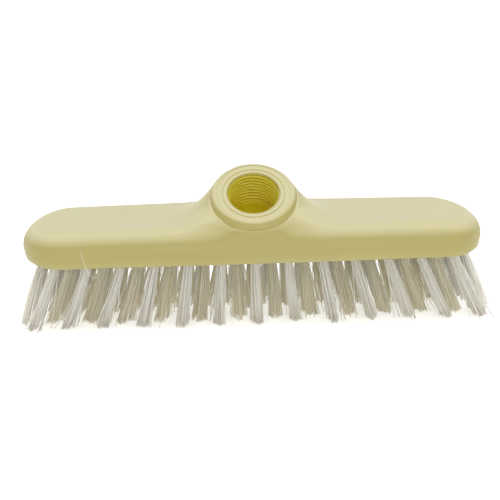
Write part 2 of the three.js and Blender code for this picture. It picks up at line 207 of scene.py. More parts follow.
CREASE_TAPER = 0.7  # below 1, it thins out only near its ends
CREASE_LIFT = 0.5 * MM  # at its ends, where it runs out of the surface
CREASE_LIFT_CURVE = 6  # above 1, only the ends lift
CREASE_TURN = 88  # degrees to each side of the front
CREASE_PLACE = (19.4 * MM, -2.45 * MM)  # from the socket's axis, and from the rim
CREASE_SIDES = 12
CREASE_RINGS = 81
SOCKET_SEGMENTS = 120

# Tufts
TUFT_COLUMNS = 13
COLUMN_INSET = 16.4 * MM
END_TUFT_INSET = 10 * MM
ROW_PITCH = 10.7 * MM
FAN_ANGLE = 18  # degrees
END_TUFT_FAN = (1.1, 1.2)  # of the fan angle, on the left and right
# The inner rows' tones give them the warmer filament colour and more passed light, painted light against the
# shade they stand in
ROWS = {  # lean in degrees to the front, and fan as shares of its angle on the left and right
    "front": {
        "lean": 3, "splay": 1.65, "staggered": False, "end_tufts": False, "tones_and_painted_light": (0.6, 1),
        "fan": (1.15, 1.4),
    },
    "second": {
        "lean": 8, "splay": 2.1, "staggered": True, "end_tufts": True, "tones_and_painted_light": (0, 0.6),
        "fan": (1, 1.1),
    },
    "third": {
        "lean": -2.5, "splay": 3.2, "staggered": False, "end_tufts": False, "tones_and_painted_light": (0, 0.6),
        "fan": (1, 1.1),
    },
    "rear": {
        "lean": -3, "splay": 3.1, "staggered": True, "end_tufts": False, "tones_and_painted_light": (0.6, 1),
        "fan": (1, 1.1),
    },
}
HOLE_RADIUS = 2.05 * MM
HOLE_DEPTH = 6.3 * MM
HOLE_OVERRUN = 2 * MM  # of its cutter, below the underside
HOLE_SEGMENTS = 24
FILAMENTS = 72  # in a tuft
FILAMENT_RADIUS = 0.18 * MM
FILAMENT_SIDES = 5
FILAMENT_STEPS = 9
TUFT_RADIUS = 1.8 * MM
SPLAY_CURVE = 0.9  # below 1, a tuft spreads most near its root
ROOT_DEPTH = 4 * MM
ROOT_JITTER = 0.2  # radians, round the tuft's middle
LEAN_JITTER = 1.2  # degrees, of a whole tuft
CURL = 1.2 * MM  # how far the tips curve outwards at the ends of a row
END_TUFT_CURL = -2 * MM
END_TUFT_SPLAY = 1.4  # of its row's splay
END_TONES = (0.6, 1)  # of the tufts at the ends, without the inner rows' painted light
END_TONE_INSET = 18 * MM
TIP_JITTER = 0.3 * MM  # of a filament's end, sideways
BOW = 0.08 * MM  # of a filament's middle
TIP_CLEARANCE = 0.1 * MM  # between the lowest tip's middle and the floor
CUT_SLOPE = 0.35  # of the cut across a tuft
RAGGED = 1.4 * MM  # how far single tips end above the cut
CLUMPS = 5  # that a tuft parts into towards its tip
CLUMP_SPREAD = 0.6  # of the tuft's radius, between the clumps' middles
CLUMP_WIDTH = 0.85  # of what a clump would be without parting
CLUMP_REACH = 0.4 * MM  # of a clump's end, sideways
CLUMP_CUT = 1.9 * MM  # how far whole clumps end above the cut
PARTING_CURVE = 2.5  # above 1, the clumps part most near the tip
STRAY_SHARE = 0.07  # of the filaments
STRAY_REACH = 3 * MM
END_TUFT_STRAY = 0.3  # of that reach
TIP_SHADE_LEVEL = 0.16  # of the painted shade, at the very tip
TIP_SHADE_CURVE = 6  # above 1, only the tips are darkened
LOOSE_FILAMENT = np.array((  # from a hole of the second row, bent up over the front face near the left end
    (-65.6, -5.4, 35.8), (-66.8, -5.8, 32), (-68, -8, 28.6), (-69, -12, 26.6), (-69.8, -17, 26),
    (-70.4, -22, 26.1), (-71, -26.6, 27), (-71.6, -29.9, 28.7), (-72.5, -31.8, 30.8), (-73.6, -32.4, 33.4),
    (-74.4, -32.5, 36.2), (-75, -32.4, 39), (-75.4, -32.3, 41.4),
)) * MM
LOOSE_RADIUS = 0.12 * MM
GOLDEN_ANGLE = math.pi * (3 - math.sqrt(5))
SEED = 7


# Camera, light and floor

def make_camera():
    azimuth = math.radians(CAMERA_AZIMUTH)
    elevation = math.radians(CAMERA_ELEVATION)
    roll = math.radians(CAMERA_ROLL)
    level = math.cos(elevation)
    back = Vector((math.sin(azimuth) * level, -math.cos(azimuth) * level, math.sin(elevation)))
    right = Vector((math.cos(azimuth), math.sin(azimuth), 0))
    up = back.cross(right)
    across = right * math.cos(roll) + up * math.sin(roll)
    upward = up * math.cos(roll) - right * math.sin(roll)
    place = CAMERA_TARGET + back * CAMERA_DISTANCE + across * CAMERA_SLIDE[0] + upward * CAMERA_SLIDE[1]
    data = bpy.data.cameras.new("camera")
    data.sensor_width = SENSOR_WIDTH
    data.lens = SENSOR_WIDTH * FOCAL_LENGTH / IMAGE_SIDE
    data.clip_start = CAMERA_CLIP_START
    camera = bpy.data.objects.new("camera", data)
    camera.matrix_world = Matrix.Translation(place) @ Matrix((across, upward, back)).transposed().to_4x4()
    bpy.context.scene.collection.objects.link(camera)
    bpy.context.scene.camera = camera


def seen_directly(nodes, links):
    """A socket that is 1 for rays from the camera, and for those that mirrors and glass send on."""
    path = nodes.new("ShaderNodeLightPath")
    seen = path.outputs["Is Camera Ray"]
    for kind in ("Is Glossy Ray", "Is Transmission Ray"):
        either = nodes.new("ShaderNodeMath")
        either.operation = "MAXIMUM"
        links.new(seen, either.inputs[0])
        links.new(path.outputs[kind], either.inputs[1])
        seen = either.outputs[0]
    return seen


def make_world():
    world = bpy.data.worlds.new("studio")
    bpy.context.scene.world = world
    world.use_nodes = True
    nodes, links = world.node_tree.nodes, world.node_tree.links
    nodes.clear()
    ambient = nodes.new("ShaderNodeBackground")
    ambient.inputs["Strength"].default_value = AMBIENT_STRENGTH
    ambient.inputs["Color"].default_value = WHITE
    white = nodes.new("ShaderNodeBackground")
    white.inputs["Color"].default_value = WHITE
    mix = nodes.new("ShaderNodeMixShader")
    links.new(seen_directly(nodes, links), mix.inputs["Fac"])
    links.new(ambient.outputs[0], mix.inputs[1])
    links.new(white.outputs[0], mix.inputs[2])
    output = nodes.new("ShaderNodeOutputWorld")
    links.new(mix.outputs[0], output.inputs["Surface"])


def make_sun(name, strength, spread, elevation, azimuth):
    data = bpy.data.lights.new(name, "SUN")
    data.energy = strength
    data.angle = math.radians(spread)
    light = bpy.data.objects.new(name, data)
    light.rotation_euler = Euler((math.radians(90 - elevation), 0, math.radians(azimuth)))
    bpy.context.scene.collection.objects.link(light)


def floor_material():
    material = bpy.data.materials.new("floor")
    material.use_nodes = True
    nodes, links = material.node_tree.nodes, material.node_tree.links
    nodes.clear()
    paper = nodes.new("ShaderNodeBsdfDiffuse")
    paper.inputs["Color"].default_value = FLOOR_COLOUR
    lift = nodes.new("ShaderNodeEmission")
    links.new(seen_directly(nodes, links), lift.inputs["Strength"])
    lift.inputs["Color"].default_value = (FLOOR_LIFT, FLOOR_LIFT, FLOOR_LIFT, 1)
    both = nodes.new("ShaderNodeAddShader")
    links.new(paper.outputs[0], both.inputs[0])
    links.new(lift.outputs[0], both.inputs[1])
    output = nodes.new("ShaderNodeOutputMaterial")
    links.new(both.outputs[0], output.inputs["Surface"])
    return material


def make_floor():
    half = FLOOR_SIDE / 2
    corners = [(-half, -half, 0), (half, -half, 0), (half, half, 0), (-half, half, 0)]
    floor = new_object("floor", corners, [(0, 1, 2, 3)], floor_material())


# Materials

class Shader:
    """A material with one Principled shader, and short calls that add nodes to it."""

    def __init__(self, name):
        self.material = bpy.data.materials.new(name)
        self.material.use_nodes = True
        self.nodes = self.material.node_tree.nodes
        self.links = self.material.node_tree.links
        self.surface = self.nodes["Principled BSDF"]

    def set(self, **values):
        for name, value in values.items():
            self.surface.inputs[name.replace("_", " ")].default_value = value

    def add(self, kind, inputs=None, **settings):
        node = self.nodes.new(kind)
        for name, value in settings.items():
            setattr(node, name, value)
        for name, value in (inputs or {}).items():
            if isinstance(value, bpy.types.NodeSocket):
                self.links.new(value, node.inputs[name])
            else:
                node.inputs[name].default_value = value
        return node

    def to_surface(self, name, socket):
        self.links.new(socket, self.surface.inputs[name])

    def place(self):
        return self.add("ShaderNodeTexCoord").outputs["Object"]

    def attribute(self, name):
        return self.add("ShaderNodeAttribute", attribute_name=name).outputs["Fac"]

    def noise(self, scale, detail, vector=None):
        inputs = {"Scale": scale, "Detail": detail, "Vector": vector or self.place()}
        return self.add("ShaderNodeTexNoise", inputs).outputs["Fac"]

    def compute(self, operation, *values, clamp=False):
        node = self.add("ShaderNodeMath", dict(enumerate(values)), operation=operation, use_clamp=clamp)
        return node.outputs[0]

    def spread(self, value, low, high, from_low=0, from_high=1):
        """Maps a value from one range to another."""
        to_range = {"To Min": low, "To Max": high}
        from_range = {"From Min": from_low, "From Max": from_high}
        return self.add("ShaderNodeMapRange", {"Value": value, **to_range, **from_range}).outputs["Result"]

    def mix(self, factor, first, second):
        """Mixes two colours."""
        inputs = {MIX_FACTOR: factor, MIX_FIRST: first, MIX_SECOND: second}
        return self.add("ShaderNodeMix", inputs, data_type="RGBA").outputs[MIX_RESULT]

    def bump(self, height, strength, distance, before=None):
        inputs = {"Height": height, "Strength": strength, "Distance": distance}
        if before:
            inputs["Normal"] = before
        return self.add("ShaderNodeBump", inputs).outputs["Normal"]


def block_plastic():
    """Plastic with painted top light, stronger round the collar, painted light along its lower edge and
    underside, and painted shade and light in the bore.
    """
    shader = Shader("block_plastic")
    shader.set(
        IOR=PLASTIC_IOR,
        Subsurface_Weight=PLASTIC_SUBSURFACE,
        Subsurface_Scale=PLASTIC_SUBSURFACE_SCALE,
        Subsurface_Radius=PLASTIC_SUBSURFACE_RADIUS,
    )
    normal = shader.add("ShaderNodeNewGeometry").outputs["Normal"]
    upward = shader.add("ShaderNodeSeparateXYZ", {"Vector": normal}).outputs["Z"]
    # Painted top light and sheen, paler as a surface faces up
    painted_top_light = shader.spread(upward, 0, 1, *TOP_LIGHT_SLOPES)
    clouds = shader.spread(shader.noise(*CLOUD_NOISE), *CLOUD_LEVELS)
    top_light_near_collar = shader.compute("MULTIPLY_ADD", painted_top_light, shader.attribute("painted_collar_light"), painted_top_light)
    top_light_and_clouds = shader.compute("ADD", top_light_near_collar, clouds)
    level = shader.compute("ADD", top_light_and_clouds, shader.attribute("painted_low_light"), clamp=True)
    outside = shader.mix(level, DEEP_COLOUR, TOP_LIGHT_COLOUR)
    # The bore's colours: painted shade at the mouth, painted light towards the floor, and a painted highlight
    # on the crests
    bore_depth = shader.attribute("bore_depth")
    groove = shader.mix(bore_depth, MOUTH_COLOUR, BORE_FLOOR_COLOUR)
    crest = shader.mix(bore_depth, MOUTH_CREST_COLOUR, BORE_FLOOR_CREST_COLOUR)
    inside = shader.mix(shader.attribute("painted_crest_highlight"), groove, crest)
    shader.to_surface("Base Color", shader.mix(shader.attribute("painted_bore_light_and_shade"), outside, inside))
    shader.to_surface("Roughness", shader.spread(shader.noise(*GLOSS_NOISE), *PLASTIC_ROUGHNESS))
    uneven = shader.bump(shader.noise(*FLOW_NOISE), *FLOW_BUMP)
    shader.to_surface("Normal", shader.bump(shader.noise(*GRAIN_NOISE), *GRAIN_BUMP, uneven))
    return shader.material


def bristle_filament():
    """Translucent filament, which passes a share of the light on to the tufts behind."""
    shader = Shader("bristle_filament")
    shader.set(IOR=FILAMENT_IOR, Roughness=FILAMENT_ROUGHNESS)
    tone, soil = shader.attribute("tone"), shader.attribute("soil")
    streaks = shader.spread(shader.noise(*STREAK_NOISE), *STREAK_LEVELS)
    level = shader.compute("ADD", tone, streaks, clamp=True)
    colour = shader.mix(soil, shader.mix(level, *FILAMENT_COLOURS), TIP_SHADE_COLOUR)
    passed = shader.mix(soil, shader.mix(level, *PASSED_COLOURS), TIP_SHADE_COLOUR)
    uneven = shader.bump(shader.noise(*FILAMENT_NOISE), *FILAMENT_BUMP)
    shader.to_surface("Base Color", colour)
    shader.to_surface("Normal", uneven)
    through = shader.add("ShaderNodeBsdfTranslucent", {"Color": passed, "Normal": uneven})
    share = shader.spread(tone, *PASSED_SHARES)
    both = shader.add("ShaderNodeMixShader", {0: share, 1: shader.surface.outputs[0], 2: through.outputs[0]})
    shader.links.new(both.outputs[0], shader.nodes["Material Output"].inputs["Surface"])
    return shader.material


def anchor_steel():
    shader = Shader("anchor_steel")
    shader.set(Metallic=1.0)
    drawn = shader.add("ShaderNodeMapping", {"Vector": shader.place(), "Scale": STEEL_STRETCH})
    streaks = shader.noise(*STEEL_NOISE, drawn.outputs["Vector"])
    shader.to_surface("Base Color", shader.mix(streaks, *STEEL_COLOURS))
    shader.to_surface("Roughness", shader.spread(streaks, *STEEL_ROUGHNESS))
    shader.to_surface("Normal", shader.bump(streaks, *STEEL_BUMP))
    return shader.material


# Meshes

def new_object(name, points, faces, material, smooth=False):
    mesh = bpy.data.meshes.new(name)
    mesh.from_pydata(np.asarray(points).tolist(), [], [tuple(map(int, face)) for face in faces])
    mesh.materials.append(material)
    if smooth:
        mesh.shade_smooth()
    made = bpy.data.objects.new(name, mesh)
    bpy.context.scene.collection.objects.link(made)
    return made


def mark(mesh, name, values):
    """Gives each point of a mesh a value, which its material reads by name."""
    mesh.attributes.new(name, "FLOAT", "POINT").data.foreach_set("value", values)


def combine(target, other, operation):
    """Joins another mesh to the target or cuts it out, and removes the other."""
    modifier = target.modifiers.new("combine", "BOOLEAN")
    modifier.operation = operation
    modifier.solver = "MANIFOLD"
    modifier.object = other
    bpy.context.view_layer.update()
    made = bpy.data.meshes.new_from_object(target.evaluated_get(bpy.context.evaluated_depsgraph_get()))
    target.modifiers.clear()
    target.data = made
    bpy.data.objects.remove(other)


def weld(mesh):
    """Merges points that the cuts have left on top of each other, and closes what that opens."""
    body = bmesh.new()
    body.from_mesh(mesh)
    bmesh.ops.remove_doubles(body, verts=body.verts, dist=WELD_DISTANCE)
    bmesh.ops.dissolve_degenerate(body, edges=body.edges, dist=WELD_DISTANCE)
    bmesh.ops.holes_fill(body, edges=[edge for edge in body.edges if edge.is_boundary], sides=0)
    body.to_mesh(mesh)
    body.free()


def ring_faces(rings, count):
    """Quads between rings that lie one after another, each with as many points."""
    faces = []
    for ring in range(rings - 1):
        for i in range(count):
            after = (i + 1) % count
            low, high = ring * count, (ring + 1) * count
            faces.append((low + i, low + after, high + after, high + i))
    return faces


def closed_stack(rings):
    """Points and faces of a body made of rings up its axis, closed by a face at each end."""
    count = len(rings[0])
    faces = ring_faces(len(rings), count)
    last = (len(rings) - 1) * count
    faces.append(tuple(reversed(range(count))))
    faces.append(tuple(range(last, last + count)))
    return np.concatenate(rings), faces


def joined(bodies):
    """Points and faces of several bodies as one mesh."""
    faces = []
    start = 0
    for points, body_faces in bodies:
        faces += [tuple(start + i for i in face) for face in body_faces]
        start += len(points)
    return np.concatenate([points for points, _ in bodies]), faces


# Block body

def half_width_at(x):
    return HALF_WIDTH - SIDE_BOW * (x / HALF_LENGTH) ** 2


def outline_half(x):
    """Half the block's width at a distance along it, round ends included."""
    end = np.clip((x - (HALF_LENGTH - END_LENGTH)) / END_LENGTH, 0, 1)
    return half_width_at(x) * np.sqrt(1 - end**2)


def outline_table():
    """Signed distances to the outline over one quarter of the plan."""
    turn = np.linspace(0, math.pi / 2, OUTLINE_END_POINTS)
    end_x = HALF_LENGTH - END_LENGTH + END_LENGTH * np.sin(turn)
    side_x = np.linspace(-2 * TABLE_STEP, end_x[0], OUTLINE_SIDE_POINTS)
    line_x = np.concatenate((side_x[:-1], end_x))
    line = np.stack((line_x, outline_half(line_x)), 1)
    line = np.concatenate((line, line[::-1] * (1, -1)))
    x = np.arange(0, HALF_LENGTH + TABLE_MARGIN, TABLE_STEP)
    y = np.arange(0, HALF_WIDTH + TABLE_MARGIN, TABLE_STEP)
    at = np.stack(np.meshgrid(x, y, indexing="ij"), -1)
    nearest = np.full(at.shape[:2], np.inf)
    for start, end in zip(line[:-1], line[1:]):
        along = end - start
        length = along @ along
        share = np.clip((at - start) @ along / length, 0, 1) if length else np.zeros(at.shape[:2])
        nearest = np.minimum(nearest, np.linalg.norm(at - start - share[..., None] * along, axis=-1))
    inside = (at[..., 1] < outline_half(at[..., 0])) & (at[..., 0] < HALF_LENGTH)
    return np.where(inside, -nearest, nearest)


OUTLINE = outline_table()


def outline_distance(x, y):
    """The distance to the outline, read from the table between its four nearest places."""
    u = np.clip(np.abs(x) / TABLE_STEP, 0, OUTLINE.shape[0] - TABLE_END)
    v = np.clip(np.abs(y) / TABLE_STEP, 0, OUTLINE.shape[1] - TABLE_END)
    i, j = u.astype(int), v.astype(int)
    u, v = u - i, v - j
    near = OUTLINE[i, j] * (1 - u) + OUTLINE[i + 1, j] * u
    far = OUTLINE[i, j + 1] * (1 - u) + OUTLINE[i + 1, j + 1] * u
    return near * (1 - v) + far * v


def rounded_corner(side, top, radius):
    """The distance to a corner between two faces, from the distances to them, with its edge rounded."""
    a, b = side + radius, top + radius
    return np.hypot(np.maximum(a, 0), np.maximum(b, 0)) + np.minimum(np.maximum(a, b), 0) - radius


def smooth_step(share):
    share = np.clip(share, 0, 1)
    return share * share * (3 - 2 * share)


def smooth_least(first, second, blend):
    """The lesser of two distances, rounded over where they are nearly the same."""
    share = np.maximum(blend - np.abs(first - second), 0) / blend
    return np.minimum(first, second) - share**2 * blend / 4


def edge_drop(side):
    """How far the rounded top edge lies below the top, at a distance from the outline."""
    over = np.clip(side + TOP_EDGE_RADIUS, 0, TOP_EDGE_RADIUS)
    return TOP_EDGE_RADIUS - np.sqrt(TOP_EDGE_RADIUS**2 - over**2)


def mound_height(x, y, base):
    """The height of the mound that carries the collar, over the block's own surface."""
    half_x, half_y = FOOT_RADIUS, FOOT_RADIUS * RISE[1]
    centre = RIM_CENTRE + AXIS * FOOT_HEIGHT
    u, v = x / half_x, (y - centre[1]) / half_y
    ring = np.maximum(np.hypot(u, v), MOUND_LEAST_RING)
    sine, cosine = u / ring, -v / ring
    backness = np.clip(-cosine, 0, 1)
    edge = centre[2] - FOOT_RADIUS * RISE[2] * cosine - FOOT_BACK_DROP * backness
    out = (ring - 1) * np.hypot(half_x * sine, half_y * cosine)
    reach = MOUND_SIDE_REACH + (MOUND_BACK_REACH - MOUND_SIDE_REACH) * backness
    share = np.clip(1 - out / reach, 0, 1) ** MOUND_POWER
    under_collar = centre[2] - FOOT_RADIUS * RISE[2] * cosine * ring - FOOT_BACK_DROP * backness * ring
    return np.where(ring < 1, under_collar, base + share * (edge - base) - MOUND_SINK * (1 - share))


def block_distance(points):
    """The signed distance to the block with its mound, before the collar and the cuts."""
    x, y, z = points.T
    side = outline_distance(x, y)
    top = BLOCK_TOP - TOP_CROWN * (x / HALF_LENGTH) ** 2
    at_end = smooth_step(1 + (np.abs(x) - HALF_LENGTH) / END_EDGE_LENGTH)
    bottom_radius = BOTTOM_EDGE_RADIUS + (END_EDGE_RADIUS - BOTTOM_EDGE_RADIUS) * at_end
    body = np.maximum(
        rounded_corner(side, z - top, TOP_EDGE_RADIUS),
        rounded_corner(side, UNDERSIDE - z, bottom_radius),
    )
    over_mound = (z - mound_height(x, y, top - edge_drop(side))) * MOUND_SLOPE_SHARE
    across = (np.abs(x) - MOUND_EDGE_SPAN[0]) / (MOUND_EDGE_SPAN[1] - MOUND_EDGE_SPAN[0])
    beside = smooth_step(np.maximum(across, y / MOUND_EDGE_SPAN[1]))
    edge_radius = MOUND_EDGE_RADII[0] + (MOUND_EDGE_RADII[1] - MOUND_EDGE_RADII[0]) * beside
    mound = np.maximum(rounded_corner(side, over_mound, edge_radius), UNDERSIDE + BOTTOM_EDGE_RADIUS - z)
    return np.maximum(smooth_least(body, mound, MOUND_BLEND), side)


def crossings(values):
    """For each cell of a grid, the mean of the places where its edges cross zero, and how many do."""
    shape = np.array(values.shape) - 1
    total = np.zeros((*shape, 3))
    count = np.zeros(shape)
    for axis in range(3):
        others = [a for a in range(3) if a != axis]
        for corner in ((0, 0), (0, 1), (1, 0), (1, 1)):
            start = np.zeros(3, int)
            start[others] = corner
            end = start.copy()
            end[axis] = 1
            low = values[tuple(slice(s, s + n) for s, n in zip(start, shape))]
            high = values[tuple(slice(e, e + n) for e, n in zip(end, shape))]
            crossed = (low < 0) != (high < 0)
            share = np.where(crossed, low / np.where(crossed, low - high, 1), 0)
            total += np.where(crossed[..., None], start + share[..., None] * np.eye(3)[axis], 0)
            count += crossed
    return total, count


def net_faces(inside, index):
    """A quad round each edge of the grid that crosses the surface, facing out."""
    faces = []
    for axis in range(3):
        ahead, up = (axis + 1) % 3, (axis + 2) % 3
        cut = [slice(1, -1)] * 3
        cut[axis] = slice(None, -1)
        low = inside[tuple(cut)]
        cut[axis] = slice(1, None)
        high = inside[tuple(cut)]
        at = np.argwhere(low != high)
        leaves = low[low != high]
        at[:, ahead] += 1
        at[:, up] += 1
        around = []
        for da, du in ((-1, -1), (0, -1), (0, 0), (-1, 0)):
            cell = at.copy()
            cell[:, ahead] += da
            cell[:, up] += du
            around.append(index[tuple(cell.T)])
        quads = np.stack(around, 1)
        faces.append(np.where(leaves[:, None], quads, quads[:, ::-1]))
    return np.concatenate(faces)


def settle(points, distance, step):
    """Moves points onto the zero level of a distance, along its slope."""
    for _ in range(SETTLE_ROUNDS):
        slope = np.stack(
            [(distance(points + d) - distance(points - d)) / (2 * step) for d in np.eye(3) * step], 1
        )
        slope /= np.maximum((slope**2).sum(1, keepdims=True), LEAST_SLOPE)
        points = points - slope * distance(points)[:, None]
    return points


def surface_net(distance, low, high, step):
    """Points and quads on the zero level of a distance inside a box."""
    axes = [np.arange(a, b + step, step) for a, b in zip(low, high)]
    grid = np.stack(np.meshgrid(*axes, indexing="ij"), -1)
    values = distance(grid.reshape(-1, 3)).reshape(grid.shape[:3])
    total, count = crossings(values)
    index = np.full(count.shape, -1)
    filled = count > 0
    index[filled] = np.arange(filled.sum())
    cells = np.argwhere(filled) + total[filled] / count[filled][:, None]
    points = settle(np.asarray(low) + cells * step, distance, step * SETTLE_SHARE)
    return points, net_faces(values < 0, index)


# Socket

def on_socket(radius, angle, height):
    """A point at a radius and angle about the socket's axis, and a height above its rim."""
    outward = np.outer(np.cos(angle), ACROSS) + np.outer(np.sin(angle), RISE)
    return RIM_CENTRE + outward * np.reshape(radius, (-1, 1)) + np.outer(height * np.ones_like(angle), AXIS)


def socket_angles():
    return np.linspace(0, 2 * math.pi, SOCKET_SEGMENTS, endpoint=False)


def arc(centre, radius, start, end, count):
    """Radii and heights along an arc, between two angles in degrees."""
    turn = np.radians(np.linspace(start, end, count))
    return np.stack((centre[0] + radius * np.cos(turn), centre[1] + radius * np.sin(turn)), 1)


def rim_height(radius):
    """The rim's height, from its flat part to its rounded edge."""
    over = max(radius - ROLL_START, 0)
    return math.sqrt(ROLL_RADIUS**2 - over**2) - ROLL_RADIUS


def groove_rings(angles, radius, width, depth, front_share):
    """Rings over one groove, from outside to inside."""
    depth_round = depth * (front_share + (1 - front_share) * (1 + np.sin(angles)) / 2)
    rings = []
    for share in np.linspace(1, -1, GROOVE_RINGS):
        place = radius + share * width / 2
        dip = depth_round * math.cos(share * math.pi / 2) ** 2
        rings.append(on_socket(place, angles, rim_height(place) - dip))
    return rings


def collar_mesh():
    """The collar's round edge and grooved rim, over a root inside the mound."""
    groove_radius, groove_width, *_ = GROOVES[-1]
    groove_edge = groove_radius + groove_width / 2
    groove_angle = math.degrees(math.asin((groove_edge - ROLL_START) / ROLL_RADIUS))
    outside = np.concatenate((
        [(BORE_RADIUS, COLLAR_ROOT)],
        arc((ROLL_START, -ROLL_RADIUS), ROLL_RADIUS, 90 - ROLL_END, 90 - groove_angle, ROLL_RINGS)[:-1],
    ))
    angles = socket_angles()
    rings = [on_socket(radius, angles, height) for radius, height in outside]
    for groove in reversed(GROOVES):
        rings += groove_rings(angles, *groove)
    return closed_stack([*rings, on_socket(BORE_RADIUS, angles, 0)])


def thread_ridge(turns):
    """How far the thread stands in at a place in its pitch, from 0 to 1, with a narrow rounded crest."""
    from_crest = np.abs(turns - np.floor(turns) - 0.5) * 2
    return smooth_step((CREST_REACH - from_crest) / CREST_FADE)


def bore_radius(height, angles):
    """The bore's radius round one height: its rounded floor, its thread, and its mouth's rounded edge."""
    above_floor = height + BORE_DEPTH
    if above_floor < BORE_FLOOR_RADIUS:
        reach = math.sqrt(max(BORE_FLOOR_RADIUS**2 - (BORE_FLOOR_RADIUS - above_floor) ** 2, 0))
        return np.full_like(angles, THREAD_RADIUS - THREAD_DEPTH - BORE_FLOOR_RADIUS + reach)
    if height > -MOUTH_EDGE_RADIUS:
        share = min(height / MOUTH_EDGE_RADIUS + 1, MOUTH_EDGE_SHARE)
        level = math.sqrt(1 - share**2)
        beyond = height + MOUTH_EDGE_RADIUS * (1 - share)
        return np.full_like(angles, BORE_RADIUS + MOUTH_EDGE_RADIUS * (1 - level) + beyond * share / level)
    fade = np.clip((-MOUTH_DEPTH - height) / THREAD_RUN_OUT, 0, 1)
    floor_fade = 1 - np.clip((above_floor - BORE_FLOOR_RADIUS) / THREAD_RUN_OUT, 0, 1)
    ridge = thread_ridge(height / THREAD_PITCH - angles / (2 * math.pi) + THREAD_START)
    depth = THREAD_DEPTH * np.maximum(ridge * fade, floor_fade)
    lead_in = (BORE_RADIUS - THREAD_RADIUS) * (1 - fade)
    return THREAD_RADIUS + lead_in - depth


def bore_mesh():
    angles = socket_angles() + math.pi / SOCKET_SEGMENTS  # between the collar's
    turn = np.linspace(0, math.pi / 2, BORE_FLOOR_RINGS)
    floor_heights = -BORE_DEPTH + BORE_FLOOR_RADIUS * (1 - np.cos(turn))
    heights = np.concatenate((
        floor_heights,
        np.arange(floor_heights[-1] + BORE_STEP, -MOUTH_EDGE_RADIUS, BORE_STEP),
        MOUTH_EDGE_RADIUS * (np.linspace(0, MOUTH_EDGE_SHARE, MOUTH_RINGS) - 1),
        [MOUTH_EDGE_RADIUS],  # above the rim, so that the cutter goes through it
    ))
    return closed_stack([on_socket(bore_radius(h, angles), angles, h) for h in heights])


def crease_mesh():
    """The cutter of the groove under the collar, an arc that thins out towards its ends."""
    ring = np.linspace(0, 2 * math.pi, CREASE_SIDES, endpoint=False)
    rings = []
    for share in np.linspace(-1, 1, CREASE_RINGS):
        turn = math.radians(CREASE_TURN * share - 90)
        fullness = math.cos(share * math.pi / 2) ** CREASE_TAPER
        size = CREASE_END_RADIUS + (CREASE_RADIUS - CREASE_END_RADIUS) * fullness
        lift = CREASE_LIFT * share**CREASE_LIFT_CURVE
        radius = CREASE_PLACE[0] + lift + size * np.cos(ring)
        height = CREASE_PLACE[1] + lift + size * np.sin(ring)
        rings.append(on_socket(radius, np.full_like(ring, turn), height))
    return closed_stack(rings[::-1])


# Tuft places

def tuft_places(row):
    """Places along the block of one row's tufts."""
    pitch = (2 * HALF_LENGTH - 2 * COLUMN_INSET) / (TUFT_COLUMNS - 1)
    count = TUFT_COLUMNS - 1 if row["staggered"] else TUFT_COLUMNS
    places = [(i - (count - 1) / 2) * pitch for i in range(count)]
    end = HALF_LENGTH - END_TUFT_INSET
    return [-end, *places, end] if row["end_tufts"] else places


def row_y(name):
    return (list(ROWS).index(name) - (len(ROWS) - 1) / 2) * ROW_PITCH


def outermost(x):
    return abs(x) > HALF_LENGTH - COLUMN_INSET


def tuft_frame(x, name, lean_more=0.0, fan_more=0.0):
    """The matrix of a tuft, which runs down its own -Z from the underside."""
    left_share, right_share = END_TUFT_FAN if outermost(x) else ROWS[name]["fan"]
    share = right_share if x > 0 else left_share
    fan = math.radians(FAN_ANGLE * share * math.sin(x / HALF_LENGTH * math.pi / 2) + fan_more)
    lean = math.radians(ROWS[name]["lean"] + lean_more)
    turned = Euler((-lean, -fan, 0), "ZYX").to_matrix().to_4x4()
    return Matrix.Translation((x, row_y(name), UNDERSIDE)) @ turned


def hole_mesh():
    """All the tuft holes as one set of cutters."""
    bodies = []
    angles = np.linspace(0, 2 * math.pi, HOLE_SEGMENTS, endpoint=False)
    circle = np.stack((np.cos(angles), np.sin(angles)), 1) * HOLE_RADIUS
    for name, row in ROWS.items():
        for x in tuft_places(row):
            placed = np.array(tuft_frame(x, name))
            rings = [
                np.column_stack((circle, np.full(HOLE_SEGMENTS, z), np.ones(HOLE_SEGMENTS))) @ placed.T
                for z in (-HOLE_OVERRUN, HOLE_DEPTH)
            ]
            bodies.append(closed_stack([ring[:, :3] for ring in rings]))
    return joined(bodies)


def mark_bore(mesh, along, radial):
    """Marks the bore's surface for its painted shade and light, how deep it lies, and the painted highlight
    on the thread's crests, by places about the axis.
    """
    inside = (radial < BORE_RADIUS + BORE_ERROR) & (along > -BORE_DEPTH - BORE_ERROR)
    mark(mesh, "painted_bore_light_and_shade", inside * smooth_step((-along - BORE_LIGHT_AND_SHADE_START) / BORE_LIGHT_AND_SHADE_FADE))
    mark(mesh, "bore_depth", inside * np.sqrt(np.clip(-along / BORE_DEPTH, 0, 1)))
    # Painted highlight on the thread's crests
    crest = smooth_step((THREAD_RADIUS - radial) / THREAD_DEPTH) * (along < -MOUTH_EDGE_RADIUS)
    mark(mesh, "painted_crest_highlight", CREST_HIGHLIGHT_LEVEL * inside * crest * (along > BORE_FLOOR_RADIUS - BORE_DEPTH))


